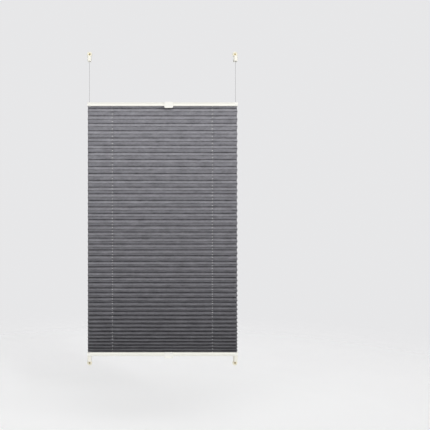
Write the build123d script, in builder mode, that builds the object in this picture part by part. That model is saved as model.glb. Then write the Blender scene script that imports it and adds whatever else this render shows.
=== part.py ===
"""Cord-tensioned pleated blind with two sliding rails, in millimetres.

X runs to the right, Y runs back to the window and Z runs up. The blind is screwed to the plane y = 0,
and its origin lies on that plane at the centre of its four screws.

Each rail is described by its cloth face and by the direction that leads out of the cloth. A height w in
a rail is counted from its cloth face outwards, and a height s in a tension shoe is counted from its
screw towards the cloth, so that the bottom pieces are the top ones turned over.
"""

from build123d import *
import math
import os

# ---- driving dimensions ----------------------------------------------------------------------------
# the blind in its window
RAIL_LENGTH = 600.0
SCREW_SPACING_Z = 1240.0  # between the upper and the lower screws
TOP_RAIL_DROP = 166.0  # how far the top rail has been let down from its shoes
BOTTOM_RAIL_GAP = 1.5  # between the bottom rail and its shoes
RAIL_BACK_GAP = 3.0  # between the rails and the window
HANDLE_X = 24.0  # where the handles have been left

# rail profile
RAIL_DEPTH = 22.0
RAIL_HEIGHT = 14.0
RAIL_CORNER = 1.0
RAIL_WALL = 1.6
WEB = 1.4  # wall between the cloth channel and the cord chamber
CHANNEL_HEIGHT = 3.8
CHANNEL_WIDTH = 12.0
HANDLE_GROOVE_WIDTH = 2.2
HANDLE_GROOVE_DEPTH = 0.7
HANDLE_GROOVE_INSET = 3.9  # from the rail's front or back to the groove's middle
SIDE_GROOVE_WIDTH = 1.2
SIDE_GROOVE_DEPTH = 0.5

# end cap and cord guide
CAP_LENGTH = 12.0
PLUG_LENGTH = 10.0
CAP_EDGE = 0.5
PLUG_FIT = 0.15  # plug and guide in the chamber, on each side
GUIDE_LENGTH = 14.0
GUIDE_NECK_WALL = 1.5
NECK_FIT = 0.2

# cloth
PANEL = 20.0  # between two creases
FULL_PITCH = 26.0  # height of a pleat when the cloth hangs at its full drop
CLOTH_THICKNESS = 0.35
CLOTH_SIDE_GAP = 1.5  # from the rail's end to the cloth's edge
PULL = 0.48  # how much wider the cloth's own weight opens the upper pleats
PULL_MORE = 0.39  # and how much faster they close towards the bottom
PUNCH_PLAY = 0.55  # round the two cords' planes in each punched hole
FLAP = 4.5  # cloth held in the rail
FLAP_LIFT = 0.3  # flap's middle above the channel's floor

# strip that holds the cloth in its channel
STRIP_WIDTH = 10.0
STRIP_HEIGHT = 3.0
STRIP_LIFT = 0.6  # from the channel's floor to the strip
STRIP_PLAY = 0.3
STRIP_END_GAP = 2.0

# cords
CORD = 1.0
CORD_PASS = 0.6  # between the two cords where they pass each other
CORD_PLAY = 0.4  # on each side of a cord in every slot that it runs in
CORD_BEND = 4.0
CORD_INSET = 8.0  # from the rail's end to the cord that leaves it
CORD_CROSSING = 200.0  # from the middle to where a cord crosses the cloth
KNOT_OVERLAP = 0.5  # how far a knot is wider than its slot, on each side

# handle
HANDLE_WIDTH = 35.0
HANDLE_PLATE = 1.8
HANDLE_HOOK = 1.5
HANDLE_FIT = 0.25
HANDLE_NUB = 1.6
HANDLE_LIP = 7.0
LIP_LEAN = 1.6
HANDLE_CORNER = 5.0
HANDLE_EDGE = 0.45
PRONG_WIDTH = 7.0
PRONG_SPACING = 26.0

# tension shoe
EYE_RADIUS = 10.0
BASE_PLATE = 4.0
BASE_WIDTH = 14.0
BASE_END = 30.5
BASE_EDGE = 0.5
SHOE_START = 10.0
SHOE_REACH = 31.0
SHOE_WIDTH = 15.0
SHOE_WALL = 3.8  # in front of the bore
SHOE_FIT = 0.2
SHOE_CORNER = 3.0
SHOE_EDGE = 0.6
SHOE_BORE = 8.4
SHOE_END_WALL = 2.5
TONGUE_STEM = 6.0
TONGUE_HEAD = 9.0
TONGUE_STEM_HEIGHT = 1.5
TONGUE_HEAD_HEIGHT = 1.8
TONGUE_START = 12.0
TONGUE_END = 30.0

# screws
SCREW_HEAD = 7.0
SCREW_NECK = 2.6  # bare stretch under the head, inside the plate
SCREW_SHANK = 3.5  # outer size of the thread
SCREW_HEAD_HEIGHT = 2.2
SCREW_BEHIND = 16.0  # length behind the mounting plane
SCREW_POINT = 3.0
SCREW_HOLE = 4.0
RECESS_LENGTH = 4.2
RECESS_WIDTH = 0.9
RECESS_DEPTH = 1.3

# spring, bead and wedge inside the shoes
BORE_FIT = 0.3
SPRING_WIRE = 0.8
SPRING_PITCH = 2.0
SPRING_TURNS = 4.5
BEAD_LENGTH = 4.0
BEAD_CHAMFER = 0.6
WEDGE_LENGTH = 9.0
WEDGE_TAPER = 0.5
WEDGE_PLAY = 0.1
STACK_GAP = 0.1  # between pieces that press on each other in a shoe

# how far a cut runs past the face that it opens
PAST = 1.0

# ---- derived places --------------------------------------------------------------------------------
RAIL_Y = -(RAIL_BACK_GAP + RAIL_DEPTH / 2)
RAIL_FRONT_Y = RAIL_Y - RAIL_DEPTH / 2
SCREW_X = RAIL_LENGTH / 2 - CORD_INSET
SCREW_Z = SCREW_SPACING_Z / 2
SHOE_END_Z = SCREW_Z - SHOE_REACH
RAILS = {
    "top": (SHOE_END_Z - TOP_RAIL_DROP - RAIL_HEIGHT, 1),
    "bottom": (-SHOE_END_Z + BOTTOM_RAIL_GAP + RAIL_HEIGHT, -1),
}
SIDES = {"left": -1, "right": 1}

PROFILE_LENGTH = RAIL_LENGTH - 2 * CAP_LENGTH
CHANNEL_TOP = RAIL_WALL + CHANNEL_HEIGHT
CHAMBER_BOTTOM = CHANNEL_TOP + WEB
CHAMBER_TOP = RAIL_HEIGHT - RAIL_WALL
CHAMBER_WIDTH = RAIL_DEPTH - 2 * RAIL_WALL
CORD_LEVEL = (CHAMBER_BOTTOM + CHAMBER_TOP) / 2
CORD_PLANES = CORD + CORD_PASS
CORD_WAY = CORD + 2 * CORD_PLAY
CORD_SLOT_LENGTH = CORD_PLANES + CORD_WAY
WAY_BEND = CORD_BEND - CORD_WAY / 2
KNOT = CORD_WAY + 2 * KNOT_OVERLAP
PUNCH = CORD_SLOT_LENGTH + 2 * PUNCH_PLAY
GUIDE_NECK = CORD_SLOT_LENGTH + 2 * GUIDE_NECK_WALL
STRIP_HOLE = CORD_SLOT_LENGTH + 2 * STRIP_PLAY

CLOTH_WIDTH = RAIL_LENGTH - 2 * CLOTH_SIDE_GAP
CLOTH_TOP, CLOTH_BOTTOM = RAILS["top"][0], RAILS["bottom"][0]
CLOTH_HEIGHT = CLOTH_TOP - CLOTH_BOTTOM
FULL_DROP = 2 * (SHOE_END_Z - BOTTOM_RAIL_GAP - RAIL_HEIGHT)
PLEATS = round(FULL_DROP / FULL_PITCH)
FOLDS = 2 * PLEATS + 1
PANELS = FOLDS  # the two half panels at the rails make up one more

SHOE_BACK_Y = -(BASE_PLATE + SHOE_FIT)
SHOE_DEPTH = SHOE_BACK_Y - (RAIL_Y - SHOE_BORE / 2 - SHOE_WALL)
SHOE_Y = SHOE_BACK_Y - SHOE_DEPTH / 2
SPRING_LENGTH = SPRING_PITCH * SPRING_TURNS
SPRING_END = SHOE_REACH - SHOE_END_WALL - SPRING_WIRE / 2 - STACK_GAP
BEAD_END = SPRING_END - SPRING_LENGTH - SPRING_WIRE / 2 - STACK_GAP
WEDGE_END = SHOE_REACH - SHOE_END_WALL - STACK_GAP


def level(rail, w):
    """Z of a point that is w out from the rail's cloth face."""
    face, out = RAILS[rail]
    return face + out * w


def shoe_level(rail, s):
    """Z of a point that is s from the screw towards the cloth."""
    return RAILS[rail][1] * (SCREW_Z - s)


def between(a, b):
    """The lower of two heights, and how far apart they are."""
    return min(a, b), abs(a - b)


def write(part, name):
    part.label = name
    export_step(part, f"parts/{name}.step")
    print(f"{name}: {part.volume:.1f} mm3")


# ---- cloth -----------------------------------------------------------------------------------------
def drop(t):
    """Share of the cloth's height that lies above the share t of its pleats.

    A pleat's height falls from the top to the bottom, because it is pulled open by the cloth below it.
    """
    return t * (1 + PULL * (1 - t) / 2 + PULL_MORE * (1 - t * t) / 3)


def opening(t):
    """Height of a panel at the share t of the pleats: the slope of drop."""
    return CLOTH_HEIGHT / PANELS * (1 + PULL * (0.5 - t) + PULL_MORE * (1 / 3 - t * t))


def creases():
    """(y, z) of each crease from the top. They lie behind and before the rail's middle in turn."""
    points = []
    for k in range(FOLDS):
        t = (k + 0.5) / PANELS
        reach = math.sqrt(PANEL**2 - opening(t) ** 2) / 2
        points.append((RAIL_Y + (reach if k % 2 == 0 else -reach), CLOTH_TOP - CLOTH_HEIGHT * drop(t)))
    return points


def cloth_line():
    """The cloth's middle line from the flap in the top rail to the flap in the bottom rail."""
    ends = {}
    for rail in RAILS:
        held = level(rail, RAIL_WALL + FLAP_LIFT)
        ends[rail] = [(RAIL_Y + FLAP, held), (RAIL_Y, held), (RAIL_Y, level(rail, 0))]
    return ends["top"] + creases() + ends["bottom"][::-1]


def band(line, thickness):
    """Outline of a strip of even thickness about a line, with its corners mitred."""
    left, right = [], []
    for k, point in enumerate(line):
        here = Vector(*point)
        before = (here - Vector(*line[k - 1])).normalized() if k else None
        after = (Vector(*line[k + 1]) - here).normalized() if k + 1 < len(line) else None
        way = ((before or after) + (after or before)).normalized()
        across = Vector(-way.Y, way.X)
        edge = before or after
        reach = thickness / 2 / across.dot(Vector(-edge.Y, edge.X))
        left.append(tuple(here + across * reach)[:2])
        right.append(tuple(here - across * reach)[:2])
    return left + right[::-1]


def punch_planes():
    """A plane square to the cloth wherever a cord passes through it."""
    line = cloth_line()[2:-2]
    middles = [line[0]] + [((a[0] + b[0]) / 2, (a[1] + b[1]) / 2) for a, b in zip(line[1:-2], line[2:-1])]
    ways = [(b[0] - a[0], b[1] - a[1]) for a, b in zip(line[:-1], line[1:])]
    middles.append(line[-1])
    return [
        Plane(origin=(side * CORD_CROSSING, y, z), x_dir=(1, 0, 0), z_dir=(0, -dz, dy))
        for side in SIDES.values()
        for (y, z), (dy, dz) in zip(middles, ways)
    ]


def pleated_cloth():
    """One length of cloth, folded into even panels, punched for the cords, with a flap at each end."""
    with BuildPart() as cloth:
        with BuildSketch(Plane.YZ):
            with BuildLine():
                Polyline(*band(cloth_line(), CLOTH_THICKNESS), close=True)
            make_face()
        extrude(amount=CLOTH_WIDTH / 2, both=True)
        with Locations(*punch_planes()):
            Cylinder(PUNCH / 2, 8 * CLOTH_THICKNESS, mode=Mode.SUBTRACT)
        # the flaps end short of the caps, which close the channels
        notch = (RAIL_LENGTH - PROFILE_LENGTH) / 2 + STRIP_END_GAP
        for rail in RAILS:
            low, height = between(level(rail, -CLOTH_THICKNESS), level(rail, CHANNEL_TOP))
            with Locations(*[(s * RAIL_LENGTH / 2, RAIL_Y, low + height / 2) for s in SIDES.values()]):
                Box(2 * notch, CHANNEL_WIDTH, height, mode=Mode.SUBTRACT)
            flap_z = level(rail, RAIL_WALL + FLAP_LIFT)
            with Locations(*[(s * CORD_CROSSING, RAIL_Y, flap_z) for s in SIDES.values()]):
                Cylinder(PUNCH / 2, 2 * PAST, mode=Mode.SUBTRACT)
    return cloth.part


# ---- rails -----------------------------------------------------------------------------------------
def rail_profile(rail):
    """Extruded rail: a slotted channel that holds the cloth, under a closed chamber for the cords."""
    edges = (-1, 1)
    with BuildPart() as profile:
        with BuildSketch(Plane.YZ):
            with Locations((RAIL_Y, level(rail, RAIL_HEIGHT / 2))):
                RectangleRounded(RAIL_DEPTH, RAIL_HEIGHT, RAIL_CORNER)
            with Locations((RAIL_Y, level(rail, (CHAMBER_BOTTOM + CHAMBER_TOP) / 2))):
                Rectangle(CHAMBER_WIDTH, CHAMBER_TOP - CHAMBER_BOTTOM, mode=Mode.SUBTRACT)
            with Locations((RAIL_Y, level(rail, (RAIL_WALL + CHANNEL_TOP) / 2))):
                Rectangle(CHANNEL_WIDTH, CHANNEL_HEIGHT, mode=Mode.SUBTRACT)
            with Locations((RAIL_Y, level(rail, 0))):
                Rectangle(CORD_SLOT_LENGTH, 2 * (RAIL_WALL + PAST), mode=Mode.SUBTRACT)
            side_grooves = [(RAIL_Y + e * RAIL_DEPTH / 2, level(rail, RAIL_HEIGHT / 2)) for e in edges]
            with Locations(*side_grooves):
                Rectangle(2 * SIDE_GROOVE_DEPTH, SIDE_GROOVE_WIDTH, mode=Mode.SUBTRACT)
            groove_y = RAIL_DEPTH / 2 - HANDLE_GROOVE_INSET
            handle_grooves = [
                (RAIL_Y + e * groove_y, level(rail, w)) for e in edges for w in (0, RAIL_HEIGHT)
            ]
            with Locations(*handle_grooves):
                Rectangle(HANDLE_GROOVE_WIDTH, 2 * HANDLE_GROOVE_DEPTH, mode=Mode.SUBTRACT)
        extrude(amount=PROFILE_LENGTH / 2, both=True)
        necks = [(s * CORD_CROSSING, RAIL_Y, level(rail, CHANNEL_TOP + WEB / 2)) for s in SIDES.values()]
        with Locations(*necks):
            Cylinder(GUIDE_NECK / 2 + NECK_FIT, 2 * WEB, mode=Mode.SUBTRACT)
    return profile.part


def cord_way(rail, x, mouths, outwards):
    """Slot for a cord that turns from the chamber to x, across both cord planes.

    mouths are the x of the level slot's two ends, and outwards says whether it leaves by the rail's
    outer face. Each corner that the cord bends round is as round as the cord's own bend.
    """
    end = RAIL_HEIGHT + PAST if outwards else -PAST
    low, height = between(level(rail, end), level(rail, CORD_LEVEL))
    side = 1 if outwards else -1
    with BuildSketch(Plane.XZ.offset(-RAIL_Y)) as way:
        with Locations(((mouths[0] + mouths[1]) / 2, level(rail, CORD_LEVEL))):
            Rectangle(abs(mouths[1] - mouths[0]), CORD_WAY)
        with Locations((x, low + height / 2)):
            Rectangle(CORD_WAY, height)
        for mouth in mouths:
            toward = math.copysign(1, mouth - x)
            if abs(mouth - x) > CORD_WAY:
                corner = (x + toward * CORD_WAY / 2, level(rail, CORD_LEVEL + side * CORD_WAY / 2))
                fillet(way.vertices().sort_by_distance(corner)[0], WAY_BEND)
    extrude(way.sketch, amount=CORD_SLOT_LENGTH / 2, both=True, mode=Mode.SUBTRACT)


def end_cap(rail, side):
    """Moulded cap: a block as large as the rail, a plug in the cord chamber and a curved cord way."""
    sign = SIDES[side]
    inner, outer = sign * PROFILE_LENGTH / 2, sign * RAIL_LENGTH / 2
    cord_x = sign * SCREW_X
    with BuildPart() as cap:
        with BuildSketch(Plane.YZ.offset(inner)):
            with Locations((RAIL_Y, level(rail, RAIL_HEIGHT / 2))):
                RectangleRounded(RAIL_DEPTH, RAIL_HEIGHT, RAIL_CORNER)
        extrude(amount=sign * CAP_LENGTH)
        end_face = cap.faces().sort_by(Axis.X)[-1 if sign > 0 else 0]
        fillet(end_face.edges(), CAP_EDGE)
        with BuildSketch(Plane.YZ.offset(inner)):
            with Locations((RAIL_Y, level(rail, (CHAMBER_BOTTOM + CHAMBER_TOP) / 2))):
                Rectangle(CHAMBER_WIDTH - 2 * PLUG_FIT, CHAMBER_TOP - CHAMBER_BOTTOM - 2 * PLUG_FIT)
        extrude(amount=-sign * PLUG_LENGTH)
        plug_end = inner - sign * (PLUG_LENGTH + PAST)
        cord_way(rail, cord_x, (plug_end, cord_x + sign * CORD_WAY / 2), outwards=True)
    return cap.part


def cord_guide(rail, side):
    """Moulded block in the chamber, with a neck through the web, that turns one cord to the cloth."""
    x = SIDES[side] * CORD_CROSSING
    with BuildPart() as guide:
        low, height = between(level(rail, CHAMBER_BOTTOM + PLUG_FIT), level(rail, CHAMBER_TOP - PLUG_FIT))
        with Locations((x, RAIL_Y, low + height / 2)):
            Box(GUIDE_LENGTH, CHAMBER_WIDTH - 2 * PLUG_FIT, height)
        low, height = between(level(rail, CHANNEL_TOP + PLUG_FIT), level(rail, CHAMBER_BOTTOM + WEB))
        with Locations((x, RAIL_Y, low + height / 2)):
            Cylinder(GUIDE_NECK / 2, height)
        reach = GUIDE_LENGTH / 2 + PAST
        cord_way(rail, x, (x - reach, x + reach), outwards=False)
    return guide.part


def cloth_strip(rail):
    """Flat bar that lies on the cloth's flap in the channel, with a hole for each cord."""
    low, height = between(
        level(rail, RAIL_WALL + STRIP_LIFT), level(rail, RAIL_WALL + STRIP_LIFT + STRIP_HEIGHT)
    )
    with BuildPart() as strip:
        with Locations((0, RAIL_Y, low + height / 2)):
            Box(PROFILE_LENGTH - 2 * STRIP_END_GAP, STRIP_WIDTH, height)
        with Locations(*[(s * CORD_CROSSING, RAIL_Y, low + height / 2) for s in SIDES.values()]):
            Box(STRIP_HOLE, STRIP_HOLE, 2 * height, mode=Mode.SUBTRACT)
    return strip.part


def rail_handle(rail):
    """Clip-on handle: two prongs over the rail's upper edge, a ledge under it and a pull lip below."""
    middle = level(rail, RAIL_HEIGHT / 2)
    half = RAIL_HEIGHT / 2 + HANDLE_FIT
    back, front = RAIL_FRONT_Y - HANDLE_FIT, RAIL_FRONT_Y - HANDLE_FIT - HANDLE_PLATE
    nub_y = RAIL_FRONT_Y + HANDLE_GROOVE_INSET
    hook_end = nub_y + HANDLE_NUB / 2
    tip = -(half + HANDLE_HOOK + HANDLE_LIP)

    def hook(sign):
        """A hook over the rail's upper (1) or lower (-1) edge, with its nub in the rail's groove."""
        with Locations(((front + hook_end) / 2, middle + sign * (half + HANDLE_HOOK / 2))):
            Rectangle(hook_end - front, HANDLE_HOOK)
        with Locations((nub_y, middle + sign * half)):
            Rectangle(HANDLE_NUB, 2 * HANDLE_GROOVE_DEPTH)

    with BuildPart() as handle:
        with BuildSketch(Plane.YZ.offset(HANDLE_X)):
            with Locations(((front + back) / 2, middle)):
                Rectangle(HANDLE_PLATE, 2 * (half + HANDLE_HOOK))
            hook(-1)
            with BuildLine():
                Polyline(
                    (front, middle - half),
                    (back, middle - half),
                    (back - LIP_LEAN, middle + tip),
                    (front - LIP_LEAN, middle + tip),
                    close=True,
                )
            make_face()
        extrude(amount=HANDLE_WIDTH / 2, both=True)
        for end in (-1, 1):
            with BuildSketch(Plane.YZ.offset(HANDLE_X + end * PRONG_SPACING / 2)):
                hook(1)
            extrude(amount=PRONG_WIDTH / 2, both=True)
        top = half + HANDLE_HOOK
        with BuildSketch(Plane.XZ.offset(-RAIL_Y)):
            with Locations((HANDLE_X, middle + (top + tip) / 2)):
                RectangleRounded(HANDLE_WIDTH, top - tip, HANDLE_CORNER)
        extrude(amount=RAIL_DEPTH, both=True, mode=Mode.INTERSECT)
        front_edges = handle.faces().sort_by(Axis.Y)[0].edges()
        fillet(front_edges, HANDLE_EDGE)
    return handle.part


# ---- cords -----------------------------------------------------------------------------------------
def tension_cord(side):
    """One cord, from a knot in its top shoe, across both rails and the cloth, to its bottom shoe."""
    sign = SIDES[side]
    y = RAIL_Y + sign * CORD_PLANES / 2
    near, far = sign * SCREW_X, -sign * CORD_CROSSING
    top_knot = shoe_level("top", BEAD_END - BEAD_LENGTH - KNOT / 2 - STACK_GAP)
    bottom_knot = shoe_level("bottom", WEDGE_END - WEDGE_LENGTH - KNOT / 2 - STACK_GAP)
    top_run, bottom_run = level("top", CORD_LEVEL), level("bottom", CORD_LEVEL)
    route = [
        (near, top_knot),
        (near, top_run),
        (far, top_run),
        (far, bottom_run),
        (near, bottom_run),
        (near, bottom_knot),
    ]
    with BuildPart() as cord:
        with BuildLine(Plane.XZ.offset(-y)) as path:
            FilletPolyline(*route, radius=CORD_BEND)
        with BuildSketch(Plane(origin=path.line @ 0, z_dir=path.line % 0)):
            Circle(CORD / 2)
        sweep()
        length = sum(edge.length for edge in path.edges())
        print(f"{side} cord: {length:.0f} mm, volume over section times length", end=" ")
        print(f"{cord.part.volume / (math.pi * CORD**2 / 4 * length):.5f}")
        with Locations((near, y, top_knot), (near, y, bottom_knot)):
            Sphere(KNOT / 2)
    return cord.part


# ---- tension shoes ---------------------------------------------------------------------------------
def shoe_base(rail, side):
    """Flat base: a round screw eye, and a plate with a tongue that the shoe slides on."""
    x = SIDES[side] * SCREW_X
    with BuildPart() as base:
        low, height = between(shoe_level(rail, 0), shoe_level(rail, BASE_END))
        with BuildSketch(Plane.XZ):
            with Locations((x, shoe_level(rail, 0))):
                Circle(EYE_RADIUS)
            with Locations((x, low + height / 2)):
                Rectangle(BASE_WIDTH, height)
        extrude(amount=BASE_PLATE)
        fillet(base.faces().sort_by(Axis.Y)[0].edges(), BASE_EDGE)
        low, height = between(shoe_level(rail, TONGUE_START), shoe_level(rail, TONGUE_END))
        with BuildSketch(Plane.XY.offset(low)):
            with Locations((x, -BASE_PLATE)):
                Rectangle(TONGUE_STEM, 2 * TONGUE_STEM_HEIGHT)
            with Locations((x, -BASE_PLATE - TONGUE_STEM_HEIGHT - TONGUE_HEAD_HEIGHT / 2)):
                Rectangle(TONGUE_HEAD, TONGUE_HEAD_HEIGHT)
        extrude(amount=height)
        z = shoe_level(rail, 0)
        sink_radius = SCREW_HEAD / 2 + (SCREW_HOLE - SCREW_SHANK) / 2
        sink_depth = (sink_radius - SCREW_HOLE / 2) * SCREW_HEAD_HEIGHT / (SCREW_HEAD / 2 - SCREW_NECK / 2)
        with BuildSketch(Plane(origin=(x, 0, z), x_dir=(1, 0, 0), z_dir=(0, 0, 1))):
            with BuildLine():
                Polyline(
                    (0, PAST),
                    (SCREW_HOLE / 2, PAST),
                    (SCREW_HOLE / 2, -BASE_PLATE + sink_depth),
                    (sink_radius, -BASE_PLATE),
                    (sink_radius, -BASE_PLATE - PAST),
                    (0, -BASE_PLATE - PAST),
                    close=True,
                )
            make_face()
        revolve(axis=Axis((x, 0, z), (0, 1, 0)), mode=Mode.SUBTRACT)
    return base.part


def shoe_body(rail, side):
    """Moulded housing that slides on the base, bored for the spring or the wedge."""
    x = SIDES[side] * SCREW_X
    with BuildPart() as body:
        low, height = between(shoe_level(rail, SHOE_START), shoe_level(rail, SHOE_REACH))
        with BuildSketch(Plane.XY.offset(low)) as outline:
            with Locations((x, SHOE_Y)):
                Rectangle(SHOE_WIDTH, SHOE_DEPTH)
            fillet(outline.vertices().group_by(Axis.Y)[0], SHOE_CORNER)
        extrude(amount=height)
        ends = body.faces().filter_by(Axis.Z)
        fillet(ends.edges(), SHOE_EDGE)
        # bore, open towards the screw
        bore_end = shoe_level(rail, SHOE_REACH - SHOE_END_WALL)
        low, height = between(shoe_level(rail, SHOE_START - PAST), bore_end)
        with Locations((x, RAIL_Y, low + height / 2)):
            Cylinder(SHOE_BORE / 2, height, mode=Mode.SUBTRACT)
        # cord slot in the end wall
        with Locations((x, RAIL_Y, shoe_level(rail, SHOE_REACH))):
            Box(CORD_WAY, CORD_SLOT_LENGTH, 3 * SHOE_END_WALL, mode=Mode.SUBTRACT)
        # groove for the tongue, open towards the cloth
        start = TONGUE_START - SHOE_FIT
        low, height = between(shoe_level(rail, start), shoe_level(rail, SHOE_REACH + PAST))
        with BuildSketch(Plane.XY.offset(low)):
            with Locations((x, -BASE_PLATE)):
                Rectangle(TONGUE_STEM + 2 * SHOE_FIT, 2 * TONGUE_STEM_HEIGHT)
            head = TONGUE_HEAD_HEIGHT + 2 * SHOE_FIT
            with Locations((x, -BASE_PLATE - TONGUE_STEM_HEIGHT + SHOE_FIT - head / 2)):
                Rectangle(TONGUE_HEAD + 2 * SHOE_FIT, head)
        extrude(amount=height, mode=Mode.SUBTRACT)
    return body.part


def shoe_screw(rail, side):
    """Countersunk wood screw with a cross recess and a bare neck, its thread drawn as a plain shank."""
    x, z = SIDES[side] * SCREW_X, shoe_level(rail, 0)
    with BuildPart() as screw:
        with BuildSketch(Plane(origin=(x, 0, z), x_dir=(1, 0, 0), z_dir=(0, 0, 1))):
            with BuildLine():
                Polyline(
                    (0, -BASE_PLATE),
                    (SCREW_HEAD / 2, -BASE_PLATE),
                    (SCREW_NECK / 2, -BASE_PLATE + SCREW_HEAD_HEIGHT),
                    (SCREW_NECK / 2, 0),
                    (SCREW_SHANK / 2, 0),
                    (SCREW_SHANK / 2, SCREW_BEHIND - SCREW_POINT),
                    (0, SCREW_BEHIND),
                    close=True,
                )
            make_face()
        revolve(axis=Axis((x, 0, z), (0, 1, 0)))
        with Locations((x, -BASE_PLATE, z)):
            Box(RECESS_LENGTH, 2 * RECESS_DEPTH, RECESS_WIDTH, mode=Mode.SUBTRACT)
            Box(RECESS_WIDTH, 2 * RECESS_DEPTH, RECESS_LENGTH, mode=Mode.SUBTRACT)
    return screw.part


def tension_spring(side):
    """Compression spring that keeps its cord tight, between the top shoe's end wall and the bead."""
    x = SIDES[side] * SCREW_X
    z = shoe_level("top", SPRING_END)
    radius = SHOE_BORE / 2 - BORE_FIT - SPRING_WIRE / 2
    with BuildPart() as spring:
        with BuildLine() as coil:
            Helix(SPRING_PITCH, SPRING_LENGTH, radius, center=(x, RAIL_Y, z))
        with BuildSketch(Plane(origin=coil.line @ 0, z_dir=coil.line % 0)):
            Circle(SPRING_WIRE / 2)
        sweep(is_frenet=True)
    return spring.part


def cord_bead(side):
    """Slotted bead that the spring pushes on and the cord's knot bears on."""
    x = SIDES[side] * SCREW_X
    with BuildPart() as bead:
        with Locations((x, RAIL_Y, shoe_level("top", BEAD_END - BEAD_LENGTH / 2))):
            Cylinder(SHOE_BORE / 2 - BORE_FIT, BEAD_LENGTH)
            chamfer(bead.edges().filter_by(GeomType.CIRCLE), BEAD_CHAMFER)
            Box(CORD_WAY, CORD_SLOT_LENGTH, 2 * BEAD_LENGTH, mode=Mode.SUBTRACT)
    return bead.part


def cord_wedge(side):
    """Split cone that is pulled into the bottom shoe and pinches the cord above its knot."""
    x = SIDES[side] * SCREW_X
    radius = SHOE_BORE / 2 - BORE_FIT
    with BuildPart() as wedge:
        for s, r in ((WEDGE_END - WEDGE_LENGTH, radius), (WEDGE_END, radius - WEDGE_TAPER)):
            with BuildSketch(Plane.XY.offset(shoe_level("bottom", s))):
                with Locations((x, RAIL_Y)):
                    Circle(r)
        loft()
        back = RAIL_Y + CORD_SLOT_LENGTH / 2
        with Locations((x, back - SHOE_BORE / 2, shoe_level("bottom", WEDGE_END - WEDGE_LENGTH / 2))):
            Box(CORD + 2 * WEDGE_PLAY, SHOE_BORE, 2 * WEDGE_LENGTH, mode=Mode.SUBTRACT)
    return wedge.part


# ---- write every piece -----------------------------------------------------------------------------
os.makedirs("parts", exist_ok=True)
print(f"{PLEATS} pleats, {(PANELS * PANEL):.0f} mm of cloth in {CLOTH_HEIGHT:.1f} mm")
write(pleated_cloth(), "pleated_cloth")
for rail in RAILS:
    write(rail_profile(rail), f"{rail}_rail_profile")
    write(cloth_strip(rail), f"{rail}_cloth_strip")
    write(rail_handle(rail), f"{rail}_rail_handle")
    for side in SIDES:
        write(end_cap(rail, side), f"{rail}_{side}_end_cap")
        write(cord_guide(rail, side), f"{rail}_{side}_cord_guide")
        write(shoe_base(rail, side), f"{rail}_{side}_shoe_base")
        write(shoe_body(rail, side), f"{rail}_{side}_shoe_body")
        write(shoe_screw(rail, side), f"{rail}_{side}_screw")
for side in SIDES:
    write(tension_cord(side), f"{side}_tension_cord")
    write(tension_spring(side), f"top_{side}_spring")
    write(cord_bead(side), f"top_{side}_cord_bead")
    write(cord_wedge(side), f"bottom_{side}_cord_wedge")
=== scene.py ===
# %% [markdown]
# # A pleated blind, finished around its CAD frame
#
# The object is a window blind: one long cloth folded into sharp pleats, held between two slim rails
# that slide on tight cords. Four shoes hold the cords and are screwed to the window. A CAD model gives
# every construction piece its size and place, so it is loaded first and never moved. This file makes
# what CAD leaves plain: the folded cloth, the braided cords, the threaded screws and every finish.

# %% Load the frame
import math

import bpy
import numpy as np
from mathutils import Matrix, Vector


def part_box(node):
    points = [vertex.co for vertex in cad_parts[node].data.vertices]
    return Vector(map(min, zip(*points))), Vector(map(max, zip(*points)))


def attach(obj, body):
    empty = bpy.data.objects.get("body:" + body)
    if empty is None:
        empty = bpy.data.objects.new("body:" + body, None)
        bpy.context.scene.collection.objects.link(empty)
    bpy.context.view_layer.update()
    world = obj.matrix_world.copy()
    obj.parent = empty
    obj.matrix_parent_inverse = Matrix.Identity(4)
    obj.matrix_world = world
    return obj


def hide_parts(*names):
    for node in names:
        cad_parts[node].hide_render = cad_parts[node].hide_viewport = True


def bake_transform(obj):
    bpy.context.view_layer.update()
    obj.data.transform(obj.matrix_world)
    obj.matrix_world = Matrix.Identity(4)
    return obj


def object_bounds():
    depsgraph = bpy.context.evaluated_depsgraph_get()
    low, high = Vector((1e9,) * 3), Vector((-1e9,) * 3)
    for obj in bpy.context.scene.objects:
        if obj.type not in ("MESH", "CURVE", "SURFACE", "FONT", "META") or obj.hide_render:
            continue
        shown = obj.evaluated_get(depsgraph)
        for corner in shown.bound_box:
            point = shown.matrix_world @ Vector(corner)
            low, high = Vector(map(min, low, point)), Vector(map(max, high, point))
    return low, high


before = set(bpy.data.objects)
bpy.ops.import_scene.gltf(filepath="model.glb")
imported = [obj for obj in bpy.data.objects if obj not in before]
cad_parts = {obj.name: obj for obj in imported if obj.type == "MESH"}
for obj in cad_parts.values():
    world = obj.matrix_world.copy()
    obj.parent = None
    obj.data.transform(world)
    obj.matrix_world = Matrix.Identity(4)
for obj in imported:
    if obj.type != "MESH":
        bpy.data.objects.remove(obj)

cad_low, cad_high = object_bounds()
MM = 0.001
print("CAD box in mm:", [round(v / MM, 1) for v in (*cad_low, *cad_high)])

# %% [markdown]
# ## Camera
#
# A blind is drawn square on, so that its rails stay level and its sides upright. The camera therefore
# looks straight along +Y and never tilts. It stands a little to the left of the blind's middle, and the
# blind is framed at the left of the picture, which a small sideways shift of the lens does without
# turning the camera. The lens follows from the distance and from how wide the picture is there.

# %% Camera
rail_low, rail_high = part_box("top_rail_profile")
RAIL_Y = (rail_low.y + rail_high.y) / 2
PICTURE_WIDTH = 1.72  # metres across the picture, in the plane of the cloth
PICTURE_MIDDLE_X = 0.21
CAMERA_X, CAMERA_Z = -0.15, -0.0257
CAMERA_DISTANCE = 2.35
SENSOR = 36.0
FARTHEST = 50  # metres, well past the floor's rim

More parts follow.
